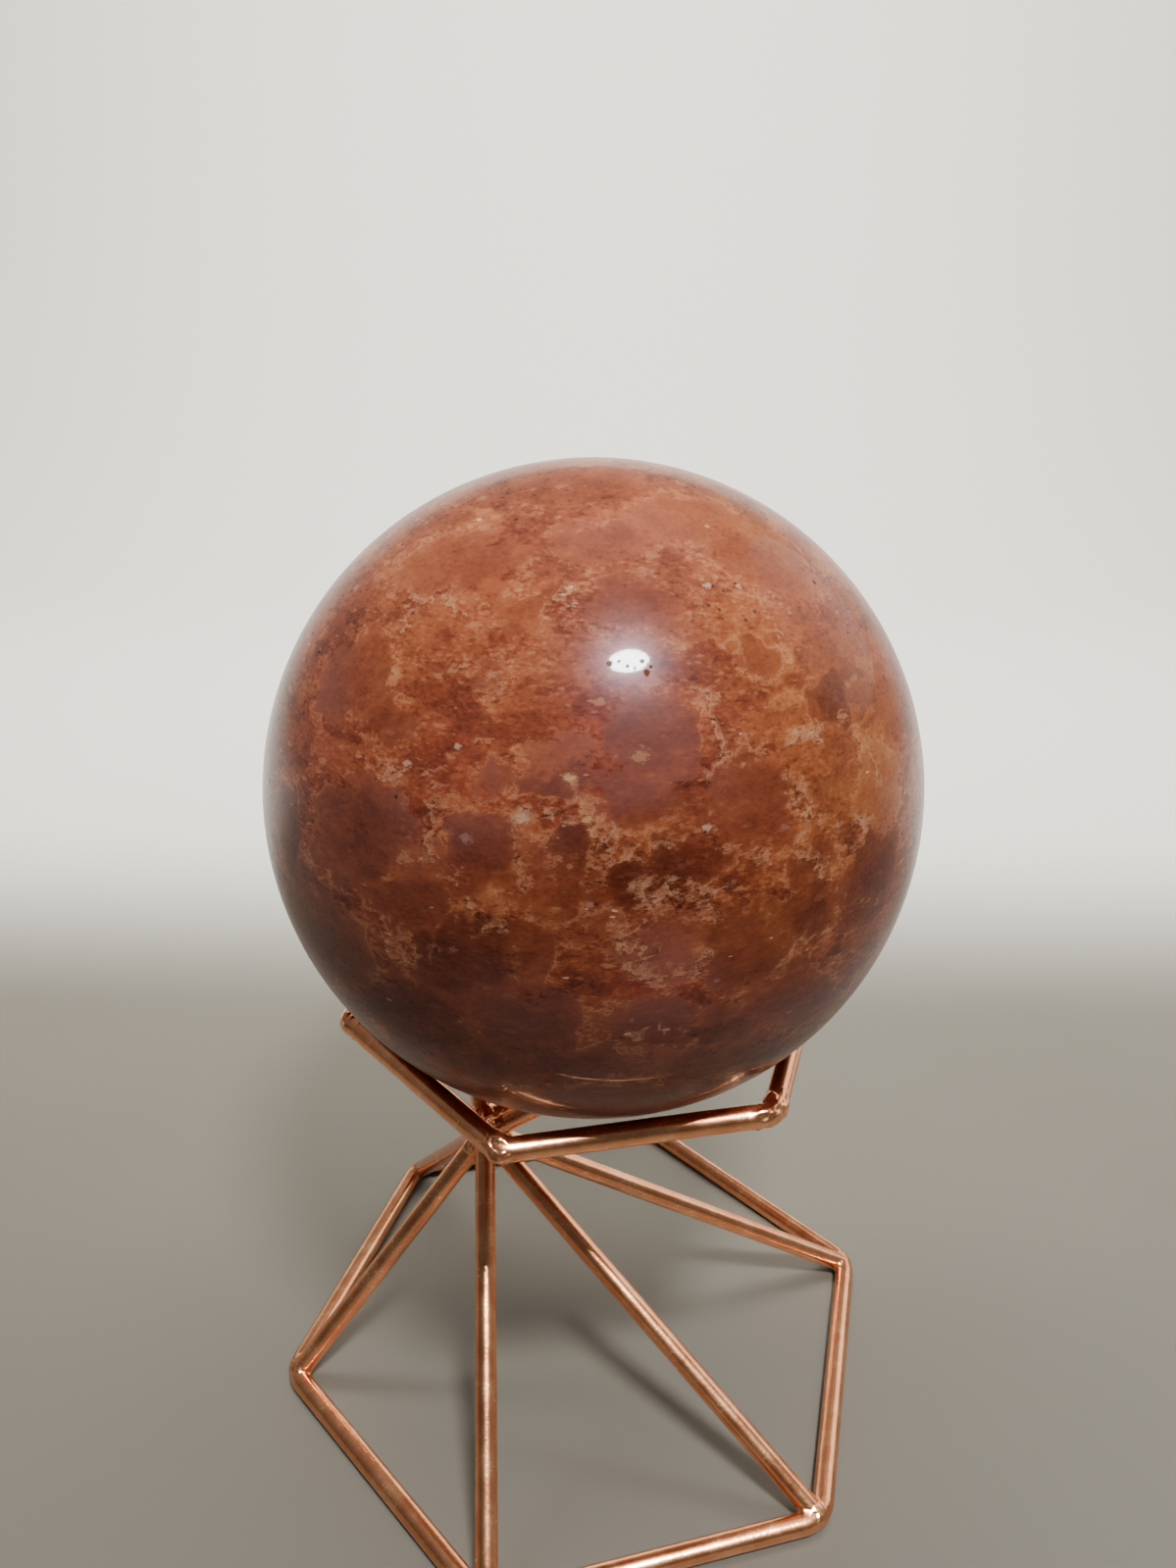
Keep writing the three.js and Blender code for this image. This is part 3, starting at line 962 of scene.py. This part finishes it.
# A strip whose profile runs level, bends up through a quarter circle behind the object, then rises.
def makeFloor():
    bend, back, side = studio["floorBend"], studio["wallDistance"], studio["floorSide"]
    t = np.linspace(0, pi / 2, 17)
    profile = np.concatenate([[(-studio["floorHalf"], 0.0)],
                              np.stack([back - bend + bend * np.sin(t), bend - bend * np.cos(t)], -1),
                              [(back, studio["wallHeight"])]])
    x = np.array([-side, side])[None, :, None]
    grid = x * studioRight + profile[:, None, :1] * studioBack + profile[:, None, 1:] * (0, 0, 1)
    rows, columns = grid.shape[:2]
    faces = gridFaces(rows, columns, closed=False)
    floor = makeMesh("pale_floor", [(grid.reshape(-1, 3), faces, np.zeros((0, 3), int))])
    floor.data.materials.append(makeFloorLook())


def makeLamp(name, heading, distance, size, power, target, mirrored=True, scattered=True):
    data = bpy.data.lights.new(name, "AREA")
    data.shape, data.energy = "ELLIPSE", power
    data.size, data.size_y = size
    lamp = bpy.data.objects.new(name, data)
    heading = Vector(heading).normalized()
    lamp.location = Vector(target) + heading * distance
    lamp.rotation_mode = "QUATERNION"
    lamp.rotation_quaternion = heading.to_track_quat("Z", "Y")
    lamp.visible_glossy, lamp.visible_diffuse = mirrored, scattered
    bpy.context.collection.objects.link(lamp)


# Even soft light, brighter behind than in front.
def makeWorld():
    world = bpy.data.worlds.new("studio")
    world.use_nodes = True
    tree = world.node_tree
    tree.nodes.clear()
    place = tree.nodes.new("ShaderNodeTexCoord")
    gradient = tree.nodes.new("ShaderNodeSeparateXYZ")
    ramp = tree.nodes.new("ShaderNodeMapRange")
    background = tree.nodes.new("ShaderNodeBackground")
    output = tree.nodes.new("ShaderNodeOutputWorld")
    tree.links.new(place.outputs["Generated"], gradient.inputs[0])
    tree.links.new(gradient.outputs["Y"], ramp.inputs[0])
    for i, value in enumerate(studio["world"], start=1):
        ramp.inputs[i].default_value = value
    tree.links.new(ramp.outputs[0], background.inputs["Strength"])
    background.inputs["Color"].default_value = studio["worldColour"]
    tree.links.new(background.outputs[0], output.inputs["Surface"])
    bpy.context.scene.world = world


makeFloor()
makeWorld()
for name, lamp in lamps.items():
    makeLamp(name, **lamp)
print("floor and lights made")


# Bodies: every piece hangs under the root body, and the CAD parts that pieces replace are hidden
for name, piece in wirePieces.items():
    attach(piece, "root")
    if name != "waist_solder":
        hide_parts(name)
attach(stonePiece, "root")
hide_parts("sunstone_sphere")
